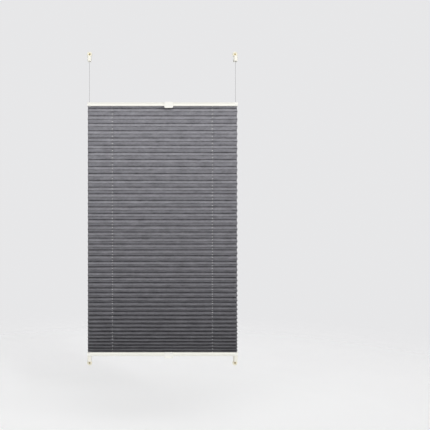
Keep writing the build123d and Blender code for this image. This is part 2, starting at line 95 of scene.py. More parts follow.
camera_data = bpy.data.cameras.new("camera")
camera_data.sensor_width = SENSOR
camera_data.lens = SENSOR * CAMERA_DISTANCE / PICTURE_WIDTH
camera_data.shift_x = (PICTURE_MIDDLE_X - CAMERA_X) / PICTURE_WIDTH
camera_data.clip_end = FARTHEST
camera = bpy.data.objects.new("camera", camera_data)
camera.location = (CAMERA_X, RAIL_Y - CAMERA_DISTANCE, CAMERA_Z)
camera.rotation_euler = (math.radians(90), 0, 0)
bpy.context.scene.collection.objects.link(camera)
bpy.context.scene.camera = camera
print(f"lens {camera_data.lens:.1f} mm, shift {camera_data.shift_x:.3f}")

# %% [markdown]
# ## Surfaces from arrays
#
# Every new piece is a surface over a grid of two parameters: a sheet over its width and length, a tube
# over its length and its turn. The points are worked out as whole numpy arrays, and the faces follow
# from the grid's rows and columns alone. A tube joins its last column to its first.

# %% Mesh helpers
def grid_faces(rows, columns, closed=False):
    """Quads of a grid, row by row; closed joins the last column to the first."""
    across = np.arange(columns if closed else columns - 1)
    r, c = np.meshgrid(np.arange(rows - 1), across, indexing="ij")
    after = (c + 1) % columns
    corners = (r * columns + c, (r + 1) * columns + c, (r + 1) * columns + after, r * columns + after)
    return np.stack(corners, -1).reshape(-1, 4)


def mesh_object(name, points, faces):
    """A smooth-shaded mesh object at the frame's origin, with its place in its vertices."""
    mesh = bpy.data.meshes.new(name)
    mesh.from_pydata(np.asarray(points).reshape(-1, 3), [], faces)
    mesh.update()
    mesh.shade_smooth()
    piece = bpy.data.objects.new(name, mesh)
    bpy.context.scene.collection.objects.link(piece)
    print(f"{name}: {len(mesh.vertices)} points, {len(mesh.polygons)} faces")
    return piece


# %% [markdown]
# ## Shader nodes
#
# A finish is a small network of nodes, and a few helpers keep it readable. `add` makes any node and fills
# or links its inputs. `calc` is one step of arithmetic, `noise` is the texture that nearly every finish
# starts from, `remap` carries a value from one range to another, and `scaled` multiplies a place, which
# draws a pattern out in each direction whose factor is small.

# %% Node helpers
def add(tree, kind, inputs=None, **settings):
    """A new node: settings are its properties, inputs its sockets' values or the sockets to link."""
    node = tree.nodes.new(kind)
    for key, value in settings.items():
        setattr(node, key, value)
    for key, value in (inputs or {}).items():
        if isinstance(value, bpy.types.NodeSocket):
            tree.links.new(value, node.inputs[key])
        else:
            node.inputs[key].default_value = value
    return node


def calc(tree, operation, *values):
    """The result of one Math node."""
    return add(tree, "ShaderNodeMath", dict(enumerate(values)), operation=operation).outputs[0]


def noise(tree, place, scale, detail=2.0, rough=0.5):
    """The value of a noise texture at place; scale is how many of its features fit in a metre."""
    inputs = {"Vector": place, "Scale": scale, "Detail": detail, "Roughness": rough}
    return add(tree, "ShaderNodeTexNoise", inputs).outputs["Fac"]


def remap(tree, value, old, new, curve="LINEAR"):
    """A value carried from the range old to the range new, and held at the ends of new."""
    ends = {0: value, 1: old[0], 2: old[1], 3: new[0], 4: new[1]}
    return add(tree, "ShaderNodeMapRange", ends, interpolation_type=curve).outputs[0]


def scaled(tree, place, factors):
    """A place with each of its coordinates multiplied by a factor."""
    return add(tree, "ShaderNodeVectorMath", {0: place, 1: factors}, operation="MULTIPLY").outputs[0]


# %% [markdown]
# ## Materials
#
# Every finish here is a plain colour times a shade that varies over the surface, so that one noise can
# cloud or streak any colour. What is the same everywhere, such as a sheen, is set on the shader's own
# sockets. Every object sits at the origin, so Object coordinates are the frame's own metres, and a
# pattern has one scale on all the pieces.

# %% Material helpers
def new_material(name, **sockets):
    """A material, its node tree and its Principled shader, with constants on the shader's sockets."""
    material = bpy.data.materials.new(name)
    material.use_nodes = True
    tree = material.node_tree
    shader = tree.nodes["Principled BSDF"]
    for key, value in sockets.items():
        shader.inputs[key.replace("_", " ")].default_value = value
    return material, tree, shader


def object_place(tree):
    """Object coordinates."""
    return add(tree, "ShaderNodeTexCoord").outputs["Object"]


def paint(tree, shader, colour, shade):
    """Feeds the shader's colour: a plain colour times a shade."""
    inputs = {0: 1.0, 6: (*colour, 1), 7: shade}  # how much, and the Mix node's two colours
    mix = add(tree, "ShaderNodeMix", inputs, data_type="RGBA", blend_type="MULTIPLY")
    tree.links.new(mix.outputs[2], shader.inputs["Base Color"])


# %% [markdown]
# ## Background
#
# The blind is shown alone, before a plain pale background. How bright the background looks and how much
# light it gives are two different things: too much light from everywhere would wash out the pleats. So
# it is two shaders, and the one for the camera's own rays is picked with a Light Path node.

# %% Background
scene = bpy.context.scene
scene.view_settings.view_transform = "Standard"
BACKDROP = (0.80, 0.80, 0.81, 1)
AMBIENT = 0.04

world = bpy.data.worlds.new("studio")
world.use_nodes = True
scene.world = world
sky = world.node_tree
sky.nodes.clear()
seen = add(sky, "ShaderNodeBackground", {"Color": BACKDROP, "Strength": 1.0}).outputs[0]
lit = add(sky, "ShaderNodeBackground", {"Color": (1, 1, 1, 1), "Strength": AMBIENT}).outputs[0]
camera_ray = add(sky, "ShaderNodeLightPath").outputs["Is Camera Ray"]
both = add(sky, "ShaderNodeMixShader", {0: camera_ray, 1: lit, 2: seen})
add(sky, "ShaderNodeOutputWorld", {"Surface": both.outputs[0]})
print("background", BACKDROP[:3], "ambient light", AMBIENT)

# %% [markdown]
# ## Floor
#
# The floor is a pale disc some way below the blind, which hangs free. A rim would show as a hard line,
# so the disc fades away before it gets there. It also shines a little, towards the camera only, which
# brings it to the background's brightness without adding light to the scene.

# %% Floor
FLOOR_GAP = 0.27  # from the object's lowest point down to the floor
FLOOR_CLEAR, FLOOR_REACH = 0.7, 3.0  # radius at which the fading starts, and of the rim
FLOOR_MIDDLE = 0.01  # radius of the single face in the middle
FLOOR_RINGS, FLOOR_TURNS = 12, 64
FLOOR_GREY = (0.80, 0.80, 0.80)
FLOOR_GLOW = 0.28


def floor_disc():
    """A disc on a polar grid: rings of points at even steps of the radius, and one face in the middle."""
    turn = np.linspace(0, 2 * math.pi, FLOOR_TURNS, endpoint=False)
    reach = np.linspace(FLOOR_MIDDLE, FLOOR_REACH, FLOOR_RINGS)[:, None]
    level = np.full((FLOOR_RINGS, FLOOR_TURNS), cad_low.z - FLOOR_GAP)
    points = np.stack([reach * np.cos(turn), reach * np.sin(turn), level], -1)
    faces = grid_faces(FLOOR_RINGS, FLOOR_TURNS, closed=True).tolist() + [list(range(FLOOR_TURNS))]
    return mesh_object("floor", points, faces)


def floor_material():
    """Matt grey with a faint grain, clear within FLOOR_CLEAR and faded out at the rim."""
    material, tree, shader = new_material("floor", Roughness=0.8)
    place = object_place(tree)
    paint(tree, shader, FLOOR_GREY, remap(tree, noise(tree, place, 3.0), (0, 1), (0.97, 1.0)))
    away = add(tree, "ShaderNodeVectorMath", {0: scaled(tree, place, (1, 1, 0))}, operation="LENGTH")
    fade = remap(tree, away.outputs["Value"], (FLOOR_CLEAR, FLOOR_REACH), (1, 0), "SMOOTHSTEP")
    tree.links.new(fade, shader.inputs["Alpha"])
    shader.inputs["Emission Color"].default_value = BACKDROP
    camera_ray = add(tree, "ShaderNodeLightPath").outputs["Is Camera Ray"]
    tree.links.new(calc(tree, "MULTIPLY", camera_ray, FLOOR_GLOW), shader.inputs["Emission Strength"])
    return material


floor = floor_disc()
floor.data.materials.append(floor_material())

# %% [markdown]
# ## Light
#
# The light has to tell a panel that faces up from one that faces down at every height, so its direction
# must be the same at the top and at the bottom. Near lamps can't do that, and suns can. A wide level
# sun in front gives most of the light, and how far each pleat is open then shows as its brightness. A
# smaller one from the upper right lifts the panels that face up, and casts the shadows. A wide one
# behind lights the back, and a weak one overhead the faces that look straight up.

# %% Suns
def add_sun(name, from_way, strength, width):
    """A sun that shines from a direction, with a strength in W/m² and a width in degrees."""
    data = bpy.data.lights.new(name, "SUN")
    data.energy = strength
    data.angle = math.radians(width)
    lamp = bpy.data.objects.new(name, data)
    lamp.rotation_euler = (-Vector(from_way)).to_track_quat("-Z", "Y").to_euler()
    bpy.context.scene.collection.objects.link(lamp)
    print(f"{name}: strength {strength}, {width} degrees wide")


add_sun("front_sun", (0.15, -1, 0.04), 2.85, 125)
add_sun("key_sun", (0.50, -1, 0.45), 0.62, 9)
add_sun("back_sun", (-0.3, 1, 0.3), 2.4, 90)
add_sun("top_sun", (0.1, 0, 1), 0.5, 60)

# %% [markdown]
# ## The folded cloth: where each fold lies
#
# On the real blind one polyester cloth is heat-set into panels 20 mm deep. Hanging, the upper pleats
# carry the weight of those below and are pulled wide open, while the lowest ones stay nearly shut. The
# CAD model says how the height is shared out, and the same formula is used here: the share of the
# height above the share t of the pleats is t(1 + a(1 - t)/2 + b(1 - t²)/3). Each crease then lies
# before or behind the rail's middle, by half of what is left of a panel once its height is taken.

# %% Fold places
PANEL = 20 * MM
PANELS = 89
PULL, PULL_MORE = 0.48, 0.39  # a and b
FLAP_RISE, FLAP = 1.9 * MM, 4.5 * MM  # up through the rail's slot, and back under the strip
CLOTH_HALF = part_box("pleated_cloth")[1].x
CLOTH_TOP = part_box("top_rail_profile")[0].z
CLOTH_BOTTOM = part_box("bottom_rail_profile")[1].z
CLOTH_HEIGHT = CLOTH_TOP - CLOTH_BOTTOM
CLOTH_LENGTH = PANELS * PANEL

t = (np.arange(PANELS) + 0.5) / PANELS
panel_height = CLOTH_HEIGHT / PANELS * (1 + PULL * (0.5 - t) + PULL_MORE * (1 / 3 - t * t))
reach = np.sqrt(PANEL**2 - panel_height**2) / 2
crease_y = RAIL_Y + np.where(np.arange(PANELS) % 2 == 0, reach, -reach)
crease_z = CLOTH_TOP - CLOTH_HEIGHT * t * (1 + PULL * (1 - t) / 2 + PULL_MORE * (1 - t * t) / 3)
print(f"{PANELS} panels, {CLOTH_LENGTH / MM:.0f} mm of cloth in {CLOTH_HEIGHT / MM:.1f} mm")
print(f"panel height from {panel_height[0] / MM:.1f} to {panel_height[-1] / MM:.1f} mm")

# %% [markdown]
# ## The folded cloth: its line from rail to rail
#
# Seen from the side the cloth is one zigzag line, and its ends are part of it: each goes up through the
# slot of its rail and turns back under a strip, which holds it. The line is kept as its turns, with
# the distance down the cloth at which each one comes.

# %% Cloth line
turn_at = np.concatenate([
    [-FLAP_RISE - FLAP, -FLAP_RISE, 0],
    t * CLOTH_LENGTH,
    [CLOTH_LENGTH, CLOTH_LENGTH + FLAP_RISE, CLOTH_LENGTH + FLAP_RISE + FLAP],
])
turn_y = np.concatenate([[RAIL_Y + FLAP, RAIL_Y, RAIL_Y], crease_y, [RAIL_Y, RAIL_Y, RAIL_Y + FLAP]])
turn_z = np.concatenate([
    [CLOTH_TOP + FLAP_RISE, CLOTH_TOP + FLAP_RISE, CLOTH_TOP],
    crease_z,
    [CLOTH_BOTTOM, CLOTH_BOTTOM - FLAP_RISE, CLOTH_BOTTOM - FLAP_RISE],
])
turn_number = np.arange(len(turn_at))
is_crease = (turn_number > 2) & (turn_number < len(turn_at) - 3)  # three turns at each end are a flap's
print(f"{len(turn_at)} turns, {is_crease.sum()} of them creases")

# %% [markdown]
# ## The folded cloth: creases that stray
#
# The sheet is a surface over the distance x across the blind and the distance v down the cloth, laid
# flat. A place on it lies on the straight line between the turns before and after v. No real pleat is
# perfect, so each crease strays by a fraction of a millimetre along its length. Averaging each place
# with those a little before and after it rounds the creases, as heat-setting does.

# %% Creases
rng = np.random.default_rng(12)
CREASE_ROUND = 0.55 * MM
STRAY_DEPTH, STRAY_HEIGHT = 0.24 * MM, 0.17 * MM
SHORT_STRAY, LONG_STRAY = 0.18, 0.75  # wavelengths
stray_size = is_crease[:, None] * rng.normal(0, 1, (len(turn_at), 3))
stray_wave = 2 * math.pi / rng.uniform(SHORT_STRAY, LONG_STRAY, (len(turn_at), 2))
stray_phase = rng.uniform(0, 2 * math.pi, (len(turn_at), 2))


def stray(k, x, size):
    """How far crease k strays at x: half a fixed amount and half two slow waves, all random times size."""
    waves = np.sin(stray_wave[k] * x[..., None] + stray_phase[k])
    return size * (0.5 * stray_size[k, 0] + 0.5 * (stray_size[k, 1:] * waves).sum(-1))


def turn_places(k, x):
    """y and z of turn k at x. z strays as y does a metre further along, so that the two differ."""
    return np.stack([turn_y[k] + stray(k, x, STRAY_DEPTH), turn_z[k] + stray(k, x + 1, STRAY_HEIGHT)])


def between_turns(v):
    """The number of the turn before v, and the share of the way from it to the next turn."""
    k = np.clip(np.searchsorted(turn_at, v, side="right") - 1, 0, len(turn_at) - 2)
    return k, (v - turn_at[k]) / (turn_at[k + 1] - turn_at[k])


def folded(x, v):
    """y and z on the sharply folded cloth: the straight line between the turns before and after v."""
    k, share = between_turns(v)
    here, after = turn_places(k, x), turn_places(k + 1, x)
    return here + share * (after - here)


def rounded(x, v):
    """The folded cloth with round creases: the mean of three places along v, the middle one twice."""
    return np.mean([folded(x, v + step) for step in (-CREASE_ROUND, 0, 0, CREASE_ROUND)], axis=0)


across = np.linspace(-CLOTH_HALF, CLOTH_HALF, 100)
strays = np.array([stray(k, across, STRAY_DEPTH) for k in turn_number[is_crease]])
print(f"a crease strays by up to {np.abs(strays).max() / MM:.2f} mm")

# %% [markdown]
# ## The folded cloth: crumples
#
# Crushed polyester is covered in small crumples with sharp ridges and soft hollows. Modelling them one
# by one would be endless, and a plain noise has no ridges. A sum of waves that run both ways over the
# cloth, folded over where it passes through zero, has ridges along those lines and never repeats.

# %% Crumples
CRUMPLE_WAVES = 26
CRUMPLE_TURN = 0.55  # how much their directions differ, in radians
SHORT_CRUMPLE, LONG_CRUMPLE = 14 * MM, 60 * MM  # wavelengths
every_second = np.arange(CRUMPLE_WAVES) % 2
crumple_way = rng.normal(0, CRUMPLE_TURN, CRUMPLE_WAVES) + math.pi / 2 * every_second
crumple_wave = 2 * math.pi / rng.uniform(SHORT_CRUMPLE, LONG_CRUMPLE, CRUMPLE_WAVES)
crumple_phase = rng.uniform(0, 2 * math.pi, CRUMPLE_WAVES)


def crumple(x, v):
    """Height of the crumples, from 1 on a ridge to -1 in a hollow.

    It is 1 less twice the size of a sum of waves, which tanh keeps under 1.
    """
    total = np.zeros_like(x)
    for way, wave, phase in zip(crumple_way, crumple_wave, crumple_phase):
        total += np.sin(wave * (x * math.cos(way) + v * math.sin(way)) + phase)
    return 1 - 2 * np.abs(np.tanh(total / 4))


print(f"{CRUMPLE_WAVES} waves, {SHORT_CRUMPLE / MM:.0f} to {LONG_CRUMPLE / MM:.0f} mm long")

# %% [markdown]
# ## The folded cloth: its surface
#
# Between two creases a panel bows slightly, and the crumples run over it. Both push the cloth along its
# own normal, found from the places a little before and after each point, and both die away towards the
# creases, where the fold keeps the cloth straight. The flaps are held flat and have neither.

# %% Cloth surface
BOW = 0.30 * MM
CRUMPLE = 0.22 * MM


def cloth_places(x, v):
    """Points of the finished cloth: rounded folds, pushed along their normal by bow and crumples."""
    y, z = rounded(x, v)
    y1, z1 = rounded(x, v - CREASE_ROUND)
    y2, z2 = rounded(x, v + CREASE_ROUND)
    length = np.hypot(y2 - y1, z2 - z1)
    k, share = between_turns(v)
    arch = np.sin(math.pi * np.clip(share, 0, 1)) * is_crease[k]
    push = arch * (BOW + CRUMPLE * crumple(x, v))
    return np.stack([x, y + push * (z2 - z1) / length, z - push * (y2 - y1) / length], -1)


down_the_cloth = np.linspace(0, CLOTH_LENGTH, 5000)
side_edge = cloth_places(np.full(5000, CLOTH_HALF), down_the_cloth)
print(f"the folded cloth is {np.ptp(side_edge[:, 1]) / MM:.1f} mm deep")

# %% [markdown]
# ## The folded cloth: rows and columns
#
# The grid has the same rows in every panel: close together at the crease, further apart between, and
# four round the middle, where the cord holes are punched. The columns have the same four lines round
# each line of holes, and are evenly spaced elsewhere.

# %% Rows and columns
CROSSING = sum(v.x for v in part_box("top_right_cord_guide")) / 2  # from the middle to a column of holes
FLAP_HALF = 286 * MM  # the rail's channel is shorter than the cloth is wide, and so are the flaps
CREASE_LINES = np.array([0, 0.7, 1.4]) * MM
HOLE_LINES = np.array([-3.3, -1.1, 1.1, 3.3]) * MM
HOLE_CLEAR = 8 * MM  # the even columns keep this far from a hole's centre
INNER_COLUMNS, OUTER_COLUMNS = 30, 13
NOTCH_WALL, BESIDE_NOTCH = 0.3 * MM, 6 * MM  # two columns just past the end of a flap
FLAP_ROWS = 4 * MM  # rows this far into a flap are kept, and its edge is one more

in_panel = np.concatenate([CREASE_LINES, PANEL / 2 + HOLE_LINES, PANEL - CREASE_LINES[:0:-1]])
rows = (PANEL * np.arange(-0.5, PANELS + 0.5)[:, None] + in_panel).ravel()
rows = rows[(rows > -FLAP_ROWS) & (rows < CLOTH_LENGTH + FLAP_ROWS)]
rows = np.concatenate([[turn_at[0]], rows, [turn_at[-1]]])
right_half = np.concatenate([
    np.linspace(0, CROSSING - HOLE_CLEAR, INNER_COLUMNS)[1:],
    CROSSING + HOLE_LINES,
    np.linspace(CROSSING + HOLE_CLEAR, FLAP_HALF, OUTER_COLUMNS),
    [FLAP_HALF + NOTCH_WALL, FLAP_HALF + BESIDE_NOTCH, CLOTH_HALF],
])
columns = np.concatenate([-right_half[::-1], [0], right_half])
print(f"{len(rows)} rows of {len(columns)} points")

# %% [markdown]
# ## The folded cloth: punched holes and notched flaps
#
# Each cord goes through one hole in the middle of every panel. The lines around a hole's centre make a
# block of three by three faces. The block is left out, and the twelve points round it are drawn in to a
# circle, so that every hole has a clean round edge. The outermost strips of the flaps are left out too,
# because the rail's channel doesn't reach that far. Solidify then gives the sheet its thickness.

# %% Cloth mesh
PUNCH_RADIUS = 2.25 * MM
FLAP_PUNCH = 4.2 * MM  # a flap's hole is longer, as it is punched through the turn
BLOCK = HOLE_LINES[-1] + 0.01 * MM
NOTCH_EDGE = 0.5 * MM
CLOTH_THICKNESS = 0.35 * MM


def from_hole(x, v):
    """Distances across and down from the nearest hole's centre."""
    return np.abs(x) - CROSSING, v - PANEL * np.round(np.clip(v, 0, CLOTH_LENGTH) / PANEL)


def draw_in(x, v):
    """Moves the points round each hole on to its circle, and those round a flap's hole on to an ellipse."""
    across, down = from_hole(x, v)
    around = (np.abs(across) < BLOCK) & (np.abs(down) < BLOCK)
    shrink = np.where(around, PUNCH_RADIUS / np.maximum(np.hypot(across, down), 1e-9), 1)
    in_flap = (v < 0) | (v > CLOTH_LENGTH)
    longer = np.where(around & in_flap, FLAP_PUNCH / PUNCH_RADIUS, 1)
    return x + np.sign(x) * across * (shrink - 1), v + down * (shrink * longer - 1)


def kept_faces(part):
    """The grid's faces over some of its rows, apart from the holes and the notches of the flaps."""
    v, x = np.meshgrid((part[1:] + part[:-1]) / 2, (columns[1:] + columns[:-1]) / 2, indexing="ij")
    across, down = from_hole(x, v)
    hole = (np.abs(across) < BLOCK) & (np.abs(down) < BLOCK)
    notch = (np.abs(x) > FLAP_HALF) & ((v < -NOTCH_EDGE) | (v > CLOTH_LENGTH + NOTCH_EDGE))
    return grid_faces(len(part), len(columns))[~(hole | notch).ravel()]


def put_uv(piece, name, per_vertex):
    """A UV map from one (u, v) for each vertex, carried to the corners of the faces."""
    corners = np.zeros(len(piece.data.loops), np.int32)
    piece.data.loops.foreach_get("vertex_index", corners)
    layer = piece.data.uv_layers.new(name=name)
    layer.data.foreach_set("uv", per_vertex[corners].astype(np.float32).ravel())


def cloth_mesh(name, first, last):
    """The cloth from grid row first to row last as an object, with its flat x and v as a UV map."""
    part = rows[first : last + 1]
    v, x = np.meshgrid(part, columns, indexing="ij")
    x, v = draw_in(x, v)
    beyond = np.abs(x) > FLAP_HALF + NOTCH_WALL / 2
    v = np.where(beyond, np.clip(v, NOTCH_EDGE, CLOTH_LENGTH - NOTCH_EDGE), v)
    used, faces = np.unique(kept_faces(part), return_inverse=True)
    piece = mesh_object(name, cloth_places(x, v).reshape(-1, 3)[used], faces.reshape(-1, 4).tolist())
    put_uv(piece, "flat", np.stack([x, v], -1).reshape(-1, 2)[used])
    wall = piece.modifiers.new("thickness", "SOLIDIFY")
    wall.thickness = CLOTH_THICKNESS
    wall.offset = 0
    return piece


# %% [markdown]
# ## The folded cloth: two halves
#
# When a rail slides, the pleats close or open between it and the other rail. A piece can be blended
# between two bodies of the frame that share a joint, so the cloth is made in two halves that meet at a
# row halfway down. For each half a share is worked out that rises in a straight line over the height,
# from 0 along the meeting row to 1 a few millimetres short of its rail.

# %% Cloth halves
MEETING_Z = (CLOTH_TOP + CLOTH_BOTTOM) / 2
HELD_EDGE = 4 * MM  # the share reaches 1 this near to a rail, clear of the handle's hooks
UNCUT = 5 * MM  # the meeting row is at least this far from the holes
from_meeting = np.abs(np.interp(rows, turn_at, turn_z) - MEETING_Z)
near_hole = np.abs(from_hole(0, rows)[1]) < UNCUT
meeting_row = np.argmin(np.where(near_hole, np.inf, from_meeting))
meeting_points = cloth_places(columns, np.full(len(columns), rows[meeting_row]))
SEAM_Z = meeting_points[:, 2].mean()
SEAM_SPREAD = np.ptp(meeting_points[:, 2]) / 2 + 0.05 * MM  # the share is 0 along the whole row, however it strays
HALVES = {
    "pleated_cloth_upper": (0, meeting_row, "top_rail", CLOTH_TOP),
    "pleated_cloth_lower": (meeting_row, len(rows) - 1, "bottom_rail", CLOTH_BOTTOM),
}


def heights(piece):
    """z of every vertex."""
    places = np.zeros(3 * len(piece.data.vertices), np.float32)
    piece.data.vertices.foreach_get("co", places)
    return places[2::3].astype(float)


cloth_pieces = []
for name, (first, last, rail, rail_z) in HALVES.items():
    piece = cloth_mesh(name, first, last)
    still_z = SEAM_Z + math.copysign(SEAM_SPREAD, rail_z - SEAM_Z)
    held_z = rail_z - math.copysign(HELD_EDGE, rail_z - SEAM_Z)
    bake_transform(piece)
    np.clip((heights(piece) - still_z) / (held_z - still_z), 0, 1)
    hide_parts("pleated_cloth")
    cloth_pieces.append(piece)

# %% [markdown]
# ## Node groups
#
# An effect that several finishes share, or that is long enough to deserve a name, is a node group: it is
# built once, with named inputs and outputs, and placed in each material with its own values. A group
# puts out only what changes over the surface. A height goes to the shader's normal through a Bump node.

# %% Group helpers
def new_group(name, inputs, outputs):
    """An empty node group. inputs are (name, socket type, default), outputs (name, socket type)."""
    group = bpy.data.node_groups.new(name, "ShaderNodeTree")
    for label, kind, value in inputs:
        socket = group.interface.new_socket(label, in_out="INPUT", socket_type=kind)
        if value is not None:
            socket.default_value = value
    for label, kind in outputs:
        group.interface.new_socket(label, in_out="OUTPUT", socket_type=kind)
    return group, group.nodes.new("NodeGroupInput").outputs, group.nodes.new("NodeGroupOutput").inputs


def put_out(group, sockets, values):
    """Links values to the group's named outputs."""
    for name, value in values.items():
        group.links.new(value, sockets[name])


def use_group(tree, group, inputs):
    """The outputs of a node that stands for a group."""
    return add(tree, "ShaderNodeGroup", inputs, node_tree=group).outputs


def roughen(tree, shader, height, distance):
    """Feeds a height field to the shader's normal, as a relief of a depth in metres."""
    bump = add(tree, "ShaderNodeBump", {"Strength": 1.0, "Distance": distance, "Height": height})
    tree.links.new(bump.outputs["Normal"], shader.inputs["Normal"])


def dress(material, pieces):
    """Gives new pieces their material."""
    for piece in pieces:
        piece.data.materials.append(material)
    print(f"{material.name} on {len(pieces)} pieces")


# %% [markdown]
# ## Cloth finish: crushed fabric
#
# The fabric is a grey non-woven polyester that was crushed before it was pleated, so it is cloudy and
# finely fibrous. Both are noises over the cloth's own flat coordinates, drawn out across the blind, so
# that the pattern bends round each fold. The creases are darker lines. On a back crease the line is
# painted shade, as little light gets in there. On a front crease it is partly the pressed crease's own
# darker colour and partly painted shade, which keeps the round nose of the fold from catching the
# light. How far a place is from the nearest crease is a ping-pong of the distance down the cloth.

# %% Crushed fabric
FRONT_SHADE = 2.5 * MM  # how far the painted shade reaches from a front crease
CRUSH_DRAWN, FIBRE_DRAWN = (0.45, 1, 1), (0.12, 1, 1)
SPECKLE, FIBRE_HEIGHT = 0.22, 0.12


def painted_crease_shade(tree, distance, reach, amount):
    """A line of painted shade, of darkness amount, on a crease, which fades away smoothly over reach."""
    return calc(tree, "MULTIPLY", remap(tree, distance, (0.0, reach), (1.0, 0.0), "SMOOTHSTEP"), amount)


def crushed_fabric_group():
    """Flat coordinates in; out come a height for the bump, and a shade: painted shade on the creases, and
    clouds.
    """
    group, given, sockets = new_group(
        "crushed fabric",
        [
            ("Flat", "NodeSocketVector", None),
            ("Front crease shade", "NodeSocketFloat", 0.2),
            ("Back crease shade", "NodeSocketFloat", 0.4),
            ("Back shade reach", "NodeSocketFloat", 0.004),
            ("Cloud", "NodeSocketFloat", 0.2),
        ],
        [("Height", "NodeSocketFloat"), ("Shade", "NodeSocketFloat")],
    )
    wide = scaled(group, given["Flat"], CRUSH_DRAWN)
    crush = noise(group, wide, 160, 4, 0.65)  # some 6 mm from one to the next
    cloud = noise(group, wide, 45, 3, 0.55)  # some 22 mm
    fibre = noise(group, scaled(group, given["Flat"], FIBRE_DRAWN), 2600, 2, 0.6)  # less than half a mm
    both = calc(group, "SUBTRACT", calc(group, "ADD", cloud, crush), 1.0)
    cloudy = calc(group, "MULTIPLY", both, given["Cloud"])
    speck = calc(group, "MULTIPLY", calc(group, "SUBTRACT", fibre, 0.5), SPECKLE)
    plain = calc(group, "ADD", calc(group, "ADD", cloudy, speck), 1.0)
    down = add(group, "ShaderNodeSeparateXYZ", {0: given["Flat"]}).outputs["Y"]
    to_back = calc(group, "PINGPONG", calc(group, "SUBTRACT", down, PANEL / 2), PANEL)
    to_front = calc(group, "SUBTRACT", PANEL, to_back)
    # Painted shade: dark lines on the back and front creases
    back = painted_crease_shade(group, to_back, given["Back shade reach"], given["Back crease shade"])
    front = painted_crease_shade(group, to_front, FRONT_SHADE, given["Front crease shade"])
    shade = calc(group, "SUBTRACT", plain, calc(group, "ADD", back, front))
    height = calc(group, "ADD", crush, calc(group, "MULTIPLY", fibre, FIBRE_HEIGHT))
    put_out(group, sockets, {"Height": height, "Shade": shade})
    return group


crushed_fabric = crushed_fabric_group()
print(f"{crushed_fabric.name}: {len(crushed_fabric.nodes)} nodes")

# %% [markdown]
# ## Cloth finish: from open pleats to closed ones
#
# Daylight comes through the wide open pleats at the top and makes the grey look lighter there, and none
# comes through the nearly shut ones at the bottom. Letting light through the mesh would look different
# before every window, so this light is painted into the colour instead: the colour sinks slowly down
# the cloth. The painted shade on the back creases grows wider down the cloth too, as the pleats close.
# The cloth is matt, with a trace of sheen.

# %% Cloth material
OPEN_BACK_SHADE, CLOSED_BACK_SHADE = 4.2 * MM, 8.0 * MM  # reach of the painted shade on the back creases, top and bottom
CLOSED_SHADE = 0.58  # painted light: colour of the lowest pleats against the highest
CLOTH_GREY = (0.300, 0.297, 0.321)

cloth_finish, tree, shader = new_material(
    "grey_crushed_polyester", Roughness=0.9, Sheen_Weight=0.03, Specular_IOR_Level=0.1
)
flat = add(tree, "ShaderNodeUVMap", uv_map="flat").outputs["UV"]
down = add(tree, "ShaderNodeSeparateXYZ", {0: flat}).outputs["Y"]
# Painted light: lighter at the top of the cloth, darker towards the bottom
painted_daylight = remap(tree, down, (0.0, CLOTH_LENGTH), (1.0, CLOSED_SHADE))
back_shade_reach = remap(tree, down, (0.0, CLOTH_LENGTH), (OPEN_BACK_SHADE, CLOSED_BACK_SHADE))
amounts = {"Front crease shade": 0.80, "Back crease shade": 0.78, "Cloud": 0.75}
fabric = use_group(tree, crushed_fabric, {"Flat": flat, "Back shade reach": back_shade_reach, **amounts})
paint(tree, shader, CLOTH_GREY, calc(tree, "MULTIPLY", fabric["Shade"], painted_daylight))
roughen(tree, shader, fabric["Height"], 0.5 * MM)
dress(cloth_finish, cloth_pieces)

# %% [markdown]
# ## Tension cords: a taut line
#
# Two braided polyester cords hold the blind. Each runs from a knot in its top shoe down into the top
# rail, along the rail, down through the cloth's holes, back along the bottom rail and out to its bottom
# shoe, so the rails can't tilt. A taut cord is straight between the guides and bends round them on a
# fixed radius, so its line is runs joined by quarter circles.

# %% Cord line
CORD_BEND = 4.0 * MM
RING_STEP = 0.5 * MM
BEND_RINGS = 12


def taut_line(corners):
    """x, z and the turned-left normal along straight runs and quarter circles, a ring step apart."""
    corners = np.array(corners, float)
    ways = np.diff(corners, axis=0)
    ways /= np.linalg.norm(ways, axis=1)[:, None]
    left = np.stack([-ways[:, 1], ways[:, 0]], 1)
    turn = np.linspace(0, math.pi / 2, BEND_RINGS + 2)[1:-1, None]
    points, normals = [], []
    for k, way in enumerate(ways):
        start = corners[k] + (way * CORD_BEND if k else 0)
        end = corners[k + 1] - (way * CORD_BEND if k + 1 < len(ways) else 0)
        count = max(2, round(np.linalg.norm(end - start) / RING_STEP))
        points.append(start + np.linspace(0, 1, count)[:, None] * (end - start))
        normals.append(np.repeat(left[k : k + 1], count, 0))
        if k + 1 < len(ways):
            side = np.sign(way[0] * ways[k + 1][1] - way[1] * ways[k + 1][0])
            centre = end + side * left[k] * CORD_BEND
            points.append(centre + CORD_BEND * (way * np.sin(turn) - side * left[k] * np.cos(turn)))
            normals.append(left[k] * np.cos(turn) - side * way * np.sin(turn))
    return np.concatenate(points), np.concatenate(normals)


def run_length(line):
    """Length of a line of points."""
    return np.linalg.norm(np.diff(line, axis=0), axis=1).sum()


corner = taut_line([(0, 0), (0, 20 * MM), (20 * MM, 20 * MM)])[0]
print(f"a corner of 20 and 20 mm takes {run_length(corner) / MM:.1f} mm of cord")

# %% [markdown]
# ## Tension cords: the braid
#
# A bump would flatten out at the cord's edges, and the cord is seen against the light, so the braid is
# in the surface itself. Two sets of strands wind round the cord in opposite ways. Each set is a cosine
# of the turn that moves on along the cord, and where they cross, the higher one is on top.

# %% Braid
CORD_RADIUS = 0.5 * MM
SIDES = 12
STRANDS, LAY = 3, 6.0 * MM  # strands each way round, and how far one winds in a full turn
BRAID_DEPTH = 0.12  # of the radius


